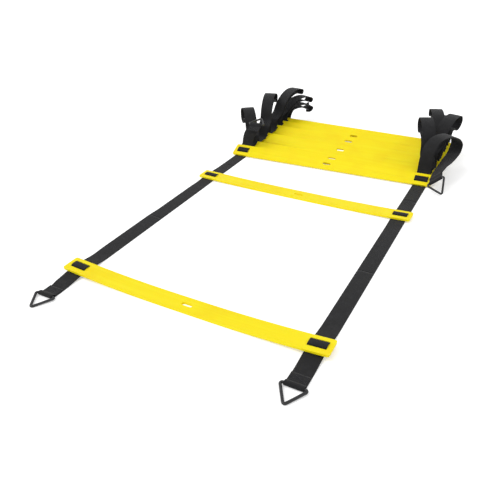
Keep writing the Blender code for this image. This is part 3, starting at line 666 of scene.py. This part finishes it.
REAR_BAR_SHARES = {"left": (0.22, 0.38, 0.72), "right": (0.54, -0.7, 0.17)}
REAR_ACROSS = {"left": (3, 0), "right": (10, 40)}
REAR_TAIL_UNIT = 74 * MM


def turned_across(turn, bank):
    """The strap's across direction, turned about the vertical and banked up, both in degrees."""
    turn, bank = math.radians(turn), math.radians(bank)
    return Vector((math.cos(turn) * math.cos(bank), math.sin(turn) * math.cos(bank), math.sin(bank)))


def rear_tail_route(side_name):
    """The rear tail's route and its sewn end's frame."""
    side = SIDES[side_name]
    here = lane_frame(STACK_FRAMES[8], side)
    out = on_lane(here, FROM_BAR)
    root = out[-1][0]
    across_end = turned_across(*REAR_ACROSS[side_name])
    stations = []
    for share, turn, bank in REAR_TAIL_STATIONS[side_name]:
        stations.append((root + Vector(share) * REAR_TAIL_UNIT, turned_across(turn, bank)))
    foot = root + Vector(REAR_BAR_SHARES[side_name]) * REAR_TAIL_UNIT
    along = (foot - stations[-1][0]).normalized()
    along = (along - across_end * along.dot(across_end)).normalized()
    normal = across_end.cross(along) * (1 if side_name == "left" else -1)
    if normal.z < 0:
        normal = -normal
    end = (foot, along, normal, across_end)
    return smooth_route(out + stations) + smooth_route(sewn_loop(*end)), end


def front_end(side):
    """The frame of a front sewn end, which lies on the floor."""
    y = -RUNG_WIDTH / 2 - TAIL_LENGTH
    foot = Vector((side * LANE, y, laid_height(y, LAID_RUNGS)))
    return foot, Vector((0, -1, 0)), Vector((0, 0, 1)), Vector((1, 0, 0))


# Woven polyester gives a dull near-black. Its ribs stand up in relief and are painted a little lighter on top,
# a painted highlight; its edges are firmer, and it is rubbed a little grey in patches.
YARN_BLACK = "#121213"
RIB_HIGHLIGHT_GREY = "#262628"
RUBBED_GREY = "#333336"
WEFT_RIB_MM = 1.9
WARP_RIB_MM = 1.3
WARP_SHARE = 0.55
TWILL_SLANT = 0.8
EDGE_CORD_MM = 1.6
EDGE_LIP_MM = 0.3
WEAVE_RELIEF_MM = 0.18
RUBBED_PATCH_MM = 22
CROWN = 0.12 * MM
EDGE_ROUND_SHARE = 0.42
CROSS_STEPS = 12
STRAIGHT_STEP = 3.5 * MM
TURNED_STEP = 0.35 * MM
LARGEST_TURN = math.radians(7)

woven, tree, shader = new_material("black_woven_polyester")
strap_map = add_node(tree, "ShaderNodeUVMap", uv_map="strap_metres").outputs["UV"]
parts = add_node(tree, "ShaderNodeSeparateXYZ", {"Vector": strap_map})
slanted = add_node(tree, "ShaderNodeMath", {
    0: parts.outputs["X"], 1: TWILL_SLANT, 2: parts.outputs["Y"]}, operation="MULTIPLY_ADD")
weft_turns = add_node(tree, "ShaderNodeMath", {
    0: slanted.outputs["Value"], 1: 2 * math.pi / (WEFT_RIB_MM * MM)}, operation="MULTIPLY")
weft = add_node(tree, "ShaderNodeMath", {0: weft_turns.outputs["Value"]}, operation="SINE")
warp_turns = add_node(tree, "ShaderNodeMath", {
    0: parts.outputs["X"], 1: 2 * math.pi / (WARP_RIB_MM * MM)}, operation="MULTIPLY")
warp = add_node(tree, "ShaderNodeMath", {0: warp_turns.outputs["Value"]}, operation="COSINE")
cloth = add_node(tree, "ShaderNodeMath", {
    0: warp.outputs["Value"], 1: WARP_SHARE, 2: weft.outputs["Value"]}, operation="MULTIPLY_ADD")
from_middle = add_node(tree, "ShaderNodeMath", {0: parts.outputs["X"]}, operation="ABSOLUTE")
edge_cord = add_node(tree, "ShaderNodeMapRange", {
    "Value": from_middle.outputs["Value"], "From Min": WEBBING_WIDTH / 2 - EDGE_CORD_MM * MM,
    "From Max": WEBBING_WIDTH / 2 - EDGE_LIP_MM * MM, "To Min": 0.0, "To Max": 2.0},
    interpolation_type="SMOOTHSTEP")
raised = add_node(tree, "ShaderNodeMath", {
    0: cloth.outputs["Value"], 1: edge_cord.outputs["Result"]}, operation="ADD")
weave_bump = add_node(tree, "ShaderNodeBump", {
    "Height": raised.outputs["Value"], "Strength": 0.55, "Distance": WEAVE_RELIEF_MM * MM})
# The ribs' raised tops are painted grey over the black: a painted highlight
rib_highlight_share = add_node(tree, "ShaderNodeMapRange", {
    "Value": cloth.outputs["Value"], "From Min": -1.5, "From Max": 1.5, "To Min": 0.0, "To Max": 1.0})
yarn_with_rib_highlight = add_node(tree, "ShaderNodeMix", {
    0: rib_highlight_share.outputs["Result"], 6: linear(YARN_BLACK), 7: linear(RIB_HIGHLIGHT_GREY)}, data_type="RGBA")
rubbed = add_node(tree, "ShaderNodeTexNoise", {
    "Vector": strap_map, "Scale": 1 / (RUBBED_PATCH_MM * MM), "Detail": 4.0, "Roughness": 0.65})
rubbed_band = add_node(tree, "ShaderNodeMapRange", {
    "Value": rubbed.outputs["Fac"], "From Min": 0.48, "From Max": 0.8, "To Min": 0.0, "To Max": 0.5})
webbing_colour = add_node(tree, "ShaderNodeMix", {
    0: rubbed_band.outputs["Result"], 6: yarn_with_rib_highlight.outputs[2], 7: linear(RUBBED_GREY)}, data_type="RGBA")
tree.links.new(webbing_colour.outputs[2], shader.inputs["Base Color"])
tree.links.new(weave_bump.outputs["Normal"], shader.inputs["Normal"])
shader.inputs["Roughness"].default_value = 0.8
shader.inputs["Sheen Weight"].default_value = 0.1
shader.inputs["Sheen Roughness"].default_value = 0.45
shader.inputs["Specular IOR Level"].default_value = 0.22


def cross_section():
    """The webbing's section as (across, out of its face): a flat band, round-edged and slightly crowned."""
    half, thick = WEBBING_WIDTH / 2, WEBBING_THICKNESS / 2
    soft = EDGE_ROUND_SHARE * WEBBING_THICKNESS
    top = []
    for step in range(CROSS_STEPS + 1):
        across = -half + soft + (WEBBING_WIDTH - 2 * soft) * step / CROSS_STEPS
        top.append((across, thick - CROWN * (across / half) ** 2))
    right_edge = [(half - 0.3 * soft, 0.75 * thick), (half, 0.25 * thick)]
    upper = top + right_edge
    lower = [(across, -out) for across, out in reversed(upper)]
    left_edge = [(-across, -out) for across, out in right_edge]
    return upper + lower + left_edge + [(across, -out) for across, out in reversed(left_edge)]


SECTION = cross_section()


def spaced(route):
    """The route's samples, less those that lie close together on a straight stretch."""
    kept = [route[0]]
    for index in range(1, len(route) - 1):
        place, across = route[index]
        step = place - kept[-1][0]
        ahead = route[index + 1][0] - place
        turned = step.angle(ahead, 0.0) > LARGEST_TURN or across.angle(kept[-1][1]) > LARGEST_TURN
        if step.length > STRAIGHT_STEP or (turned and step.length > TURNED_STEP):
            kept.append(route[index])
    return kept + [route[-1]]


def weave(name, route):
    """A strap woven along a route, as a closed band with its own map in metres: across, then along."""
    route = [(place + LADDER_START, across) for place, across in spaced(route)]
    band = bmesh.new()
    map_layer = band.loops.layers.uv.new("strap_metres")
    rows, lengths, along = [], [], 0.0
    for index, (place, across) in enumerate(route):
        before, after = route[max(index - 1, 0)][0], route[min(index + 1, len(route) - 1)][0]
        tangent = (after - before).normalized()
        face = across.cross(tangent).normalized()
        flat_across = tangent.cross(face).normalized()
        along += (place - before).length if index else 0.0
        lengths.append(along)
        rows.append([band.verts.new(place + flat_across * a + face * n) for a, n in SECTION])
    count = len(SECTION)
    for index in range(len(rows) - 1):
        for side in range(count):
            following = (side + 1) % count
            made = band.faces.new((rows[index][side], rows[index][following],
                                   rows[index + 1][following], rows[index + 1][side]))
            made.smooth = True
            spots = ((side, index), (following, index), (following, index + 1), (side, index + 1))
            for loop, (section_index, row_index) in zip(made.loops, spots):
                loop[map_layer].uv = (SECTION[section_index][0], lengths[row_index])
    for row, length in ((rows[0], 0.0), (rows[-1], lengths[-1])):
        cap = band.faces.new(row)
        for loop, (across, out) in zip(cap.loops, SECTION):
            loop[map_layer].uv = (across, length + out)
    bmesh.ops.recalc_face_normals(band, faces=band.faces)
    mesh = bpy.data.meshes.new(name)
    band.to_mesh(mesh)
    band.free()
    mesh.materials.append(woven)
    return put(name, mesh), lengths[-1]


def fit_strap(node, body, route, fold=None):
    """Weaves the strap that stands for a solid and puts it on its body, or leaves it fixed in the world where
    it has a fold. A fold is (next body, start, end), of which only whether there is one is used.
    """
    strap, length = weave(node + "_woven", route)
    if fold:
        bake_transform(strap)
    else:
        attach(strap, body)
    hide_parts(node)


# A fold would bend on its front side, which rises with it: on the other side it would turn down through the
# floor.
# No strap is bent at its fold here.
FOLD_SOFTNESS = 26 * MM
for side_name, side in SIDES.items():
    laid = laid_route(FRONT_FOLD, -RUNG_WIDTH / 2 - TAIL_LENGTH, side)
    front = smooth_route(laid[:-1]) + smooth_route(sewn_loop(*front_end(side)))
    fit_strap("strap_%s_front" % side_name, "front_section", front,
              ("middle_section", FRONT_FOLD - FOLD_SOFTNESS, FRONT_FOLD))
    middle = smooth_route(laid_route(FRONT_FOLD, REAR_FOLD, side))
    fit_strap("strap_%s_middle" % side_name, "middle_section", middle,
              ("stack", REAR_FOLD - FOLD_SOFTNESS, REAR_FOLD))
    last = lane_frame(STACK_FRAMES[3], side)
    under_stack = STACK_FRONT + STACK_PLACE_SHARES[0] * RUNG_WIDTH - RISE_OFFSET
    way = mirrored(FROM_BAR + ((RUNG_FRONT, UNDER_RUNG),))
    rear = smooth_route(laid_route(REAR_FOLD, under_stack, side) + on_lane(last, way))
    fit_strap("strap_%s_rear" % side_name, "stack", rear)
    for number in STACK_RUNGS[:-1]:
        bay = gathered_bay(number, side_name)
        fit_strap("webbing_%s_bay_%d" % (side_name, number), "stack", bay)
    fit_strap("webbing_%s_tail" % side_name, "stack", rear_tail_route(side_name)[0])
    for number, body, (centre, lift) in zip((1, 2), ("rung_one", "rung_two"), LAID_RUNGS):
        lane = lane_frame(Matrix.Translation((0, centre, 0)), side, lift)
        over = smooth_route(on_lane(lane, mirrored(REAR_WAY[:4]) + list(REAR_WAY[:4])))
        fit_strap("webbing_%s_over_bar_%d" % (side_name, number), body, over)


# Stitches
# Black bonded nylon thread, machine-sewn through both plies of each strap's end in a box with a cross in it.
# The thread is a little smoother than the webbing, sinks half into it, and shows as a row of short dashes.
STITCH_PITCH = 2.6 * MM
STITCH_LENGTH_SHARE = 0.82
THREAD_DIAMETER = 0.75 * MM
BOX_FRONT = -3.5 * BAR_RADIUS
BOX_REAR = -2 * BAR_RADIUS - SEWN_LENGTH + 2 * MM
BOX_HALF_WIDTH = WEBBING_WIDTH / 2 - 3.2 * MM
STITCH_SEED = 3
STITCH_WANDER = (0.06, 0.06, 0.16)

thread, tree, shader = new_material("black_bonded_nylon_thread")
place = add_node(tree, "ShaderNodeTexCoord").outputs["Object"]
lay = add_node(tree, "ShaderNodeTexWave", {
    "Vector": place, "Scale": 1 / (THREAD_DIAMETER * 8), "Distortion": 1.5})
# The raised plies of the twist are painted a little lighter: a painted highlight
thread_with_twist_highlight = add_node(tree, "ShaderNodeMix", {
    0: lay.outputs["Fac"], 6: linear("#1A1A1C"), 7: linear("#39393C")}, data_type="RGBA")
thread_bump = add_node(tree, "ShaderNodeBump", {
    "Height": lay.outputs["Fac"], "Strength": 0.5, "Distance": 0.08 * MM})
tree.links.new(thread_with_twist_highlight.outputs[2], shader.inputs["Base Color"])
tree.links.new(thread_bump.outputs["Normal"], shader.inputs["Normal"])
shader.inputs["Roughness"].default_value = 0.42
shader.inputs["Specular IOR Level"].default_value = 0.4


def new_group(name, sockets):
    """A node group with its sockets as (label, kind, direction), and its input node."""
    group = bpy.data.node_groups.new(name, "GeometryNodeTree")
    for label, kind, direction in sockets:
        group.interface.new_socket(label, in_out=direction, socket_type="NodeSocket" + kind)
    return group, add_node(group, "NodeGroupInput")


def finished_mesh(name, source, group, inputs):
    """Runs a node group on a mesh, with its inputs by label, and gives the result as a plain mesh object."""
    work = put(name + "_work", source)
    step = work.modifiers.new(group.name, "NODES")
    step.node_group = group
    for item in group.interface.items_tree:
        if item.in_out == "INPUT" and item.name in inputs:
            step[item.identifier] = inputs[item.name]
    mesh = bpy.data.meshes.new_from_object(work.evaluated_get(bpy.context.evaluated_depsgraph_get()))
    bpy.data.objects.remove(work)
    return put(name, mesh)


sewing, given = new_group("sew_along_seams", (
    ("Seams", "Geometry", "INPUT"), ("Stitch Pitch", "Float", "INPUT"), ("Stitch Length", "Float", "INPUT"),
    ("Thread Diameter", "Float", "INPUT"), ("Seed", "Int", "INPUT"), ("Thread", "Material", "INPUT"),
    ("Stitches", "Geometry", "OUTPUT")))
seam_line = add_node(sewing, "GeometryNodeMeshToCurve", {"Mesh": given.outputs["Seams"]})
holes = add_node(sewing, "GeometryNodeResampleCurve", {
    "Curve": seam_line.outputs["Curve"], "Length": given.outputs["Stitch Pitch"]}, mode="LENGTH")
one_stitch = add_node(sewing, "GeometryNodeMeshIcoSphere", {"Radius": 0.5, "Subdivisions": 2})
lie = add_node(sewing, "FunctionNodeAlignRotationToVector", {
    "Vector": add_node(sewing, "GeometryNodeInputTangent").outputs["Tangent"]}, axis="X")
wander = add_node(sewing, "FunctionNodeRandomValue", {
    "Min": tuple(-angle for angle in STITCH_WANDER), "Max": STITCH_WANDER, "Seed": given.outputs["Seed"]},
    data_type="FLOAT_VECTOR")
turned = add_node(sewing, "FunctionNodeRotateRotation", {
    "Rotation": lie.outputs["Rotation"], "Rotate By": wander.outputs["Value"]}, rotation_space="LOCAL")
stitch_size = add_node(sewing, "ShaderNodeCombineXYZ", {
    "X": given.outputs["Stitch Length"], "Y": given.outputs["Thread Diameter"],
    "Z": given.outputs["Thread Diameter"]})
laid_down = add_node(sewing, "GeometryNodeInstanceOnPoints", {
    "Points": holes.outputs["Curve"], "Instance": one_stitch.outputs["Mesh"],
    "Rotation": turned.outputs["Rotation"], "Scale": stitch_size.outputs["Vector"]})
real = add_node(sewing, "GeometryNodeRealizeInstances", {"Geometry": laid_down.outputs["Instances"]})
smooth = add_node(sewing, "GeometryNodeSetShadeSmooth", {"Geometry": real.outputs["Geometry"]})
threaded = add_node(sewing, "GeometryNodeSetMaterial", {
    "Geometry": smooth.outputs["Geometry"], "Material": given.outputs["Thread"]})
add_node(sewing, "NodeGroupOutput", {"Stitches": threaded.outputs["Geometry"]})


def sew_end(name, body, end):
    """Sews the box and its cross on the top ply of a sewn end."""
    foot, along, normal, across = end
    level = SEWN_PLY + WEBBING_THICKNESS / 2
    box = [foot + LADDER_START + along * a + across * b + normal * level
           for a, b in ((BOX_FRONT, -BOX_HALF_WIDTH), (BOX_FRONT, BOX_HALF_WIDTH),
                        (BOX_REAR, BOX_HALF_WIDTH), (BOX_REAR, -BOX_HALF_WIDTH))]
    seams = [(box[i], box[j]) for i, j in ((0, 1), (1, 2), (2, 3), (3, 0), (0, 2), (1, 3))]
    lines = bpy.data.meshes.new(name + "_seams")
    ends = [tuple(point) for seam in seams for point in seam]
    lines.from_pydata(ends, [(2 * i, 2 * i + 1) for i in range(len(seams))], [])
    stitches = finished_mesh(name, lines, sewing, {
        "Stitch Pitch": STITCH_PITCH, "Stitch Length": STITCH_PITCH * STITCH_LENGTH_SHARE,
        "Thread Diameter": THREAD_DIAMETER, "Seed": STITCH_SEED, "Thread": thread})
    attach(stitches, body)


for side_name, side in SIDES.items():
    sew_end("stitches_front_%s" % side_name, "front_section", front_end(side))
    sew_end("stitches_rear_%s" % side_name, "stack", rear_tail_route(side_name)[1])


# Rings
# A triangle bent from round steel wire and dipped in a smooth, slightly glossy black coating, in the sewn end
# of each strap, for a peg or a hook. It swings on the webbing round its own bar: the front ones lie down to the
# floor, the rear left one lies back on the loops, and the rear right one hangs by the stack.
RING_WIDTH = 44 * MM
RING_HEIGHT = 36 * MM
RING_BEND_RADIUS = 3 * MM
RING_BEND_STEPS = 10
WIRE_SIDES = 20
COATING = 0.25 * MM
REAR_RING_TOWARDS = {"left": (0, 1, 0.12), "right": (0.55, -0.53, -0.64)}

coated, tree, shader = new_material("black_coated_steel_wire")
place = add_node(tree, "ShaderNodeTexCoord").outputs["Object"]
orange_peel = add_node(tree, "ShaderNodeTexNoise", {"Vector": place, "Scale": 1 / (1.5 * MM), "Detail": 3.0})
coat_bump = add_node(tree, "ShaderNodeBump", {
    "Height": orange_peel.outputs["Fac"], "Strength": 0.15, "Distance": 0.1 * MM})
worn = add_node(tree, "ShaderNodeTexNoise", {"Vector": place, "Scale": 1 / (9 * MM), "Detail": 4.0})
worn_band = add_node(tree, "ShaderNodeMapRange", {
    "Value": worn.outputs["Fac"], "From Min": 0.5, "From Max": 0.75})
coat_colour = add_node(tree, "ShaderNodeMix", {
    0: worn_band.outputs["Result"], 6: linear("#161618"), 7: linear("#2C2C2F")}, data_type="RGBA")
coat_shine = add_node(tree, "ShaderNodeMapRange", {
    "Value": worn.outputs["Fac"], "From Min": 0.3, "From Max": 0.7, "To Min": 0.3, "To Max": 0.45})
tree.links.new(coat_colour.outputs[2], shader.inputs["Base Color"])
tree.links.new(coat_shine.outputs["Result"], shader.inputs["Roughness"])
tree.links.new(coat_bump.outputs["Normal"], shader.inputs["Normal"])

bending, given = new_group("bend_wire_triangle", (
    ("Triangle", "Geometry", "INPUT"), ("Wire Diameter", "Float", "INPUT"), ("Bend Radius", "Float", "INPUT"),
    ("Coating", "Material", "INPUT"), ("Ring", "Geometry", "OUTPUT")))
corner_line = add_node(bending, "GeometryNodeMeshToCurve", {"Mesh": given.outputs["Triangle"]})
rounded = add_node(bending, "GeometryNodeFilletCurve", {
    "Curve": corner_line.outputs["Curve"], "Radius": given.outputs["Bend Radius"], "Count": RING_BEND_STEPS},
    mode="POLY")
wire_radius = add_node(bending, "ShaderNodeMath", {
    0: given.outputs["Wire Diameter"], 1: 0.5}, operation="MULTIPLY")
wire_section = add_node(bending, "GeometryNodeCurvePrimitiveCircle", {
    "Resolution": WIRE_SIDES, "Radius": wire_radius.outputs["Value"]})
swept = add_node(bending, "GeometryNodeCurveToMesh", {
    "Curve": rounded.outputs["Curve"], "Profile Curve": wire_section.outputs["Curve"]})
smooth = add_node(bending, "GeometryNodeSetShadeSmooth", {"Geometry": swept.outputs["Mesh"]})
finished = add_node(bending, "GeometryNodeSetMaterial", {
    "Geometry": smooth.outputs["Geometry"], "Material": given.outputs["Coating"]})
add_node(bending, "NodeGroupOutput", {"Ring": finished.outputs["Geometry"]})


def bend_ring(node, body, end, towards):
    """A ring with its bar in a sewn end, and its apex towards the given direction."""
    foot, along, normal, across = end
    hinge = LADDER_START + foot + normal * BAR_RADIUS
    reach = (towards - across * towards.dot(across)).normalized() * RING_HEIGHT
    half = across * (RING_WIDTH / 2)
    points = [hinge, hinge + half, hinge + reach, hinge - half]
    path = bpy.data.meshes.new(node + "_path")
    path.from_pydata([tuple(point) for point in points], [(0, 1), (1, 2), (2, 3), (3, 0)], [])
    ring = finished_mesh(node + "_wire", path, bending, {
        "Wire Diameter": WIRE_DIAMETER + 2 * COATING, "Bend Radius": RING_BEND_RADIUS, "Coating": coated})
    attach(ring, body)
    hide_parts(node)


for side_name, side in SIDES.items():
    end = front_end(side)
    droop = math.asin((end[0].z + BAR_RADIUS - WIRE_DIAMETER / 2) / RING_HEIGHT)
    bend_ring("ring_front_%s" % side_name, "front_%s_ring" % side_name, end,
              Vector((0, -math.cos(droop), -math.sin(droop))))
    bend_ring("ring_rear_%s" % side_name, "rear_%s_ring" % side_name, rear_tail_route(side_name)[1],
              Vector(REAR_RING_TOWARDS[side_name]))
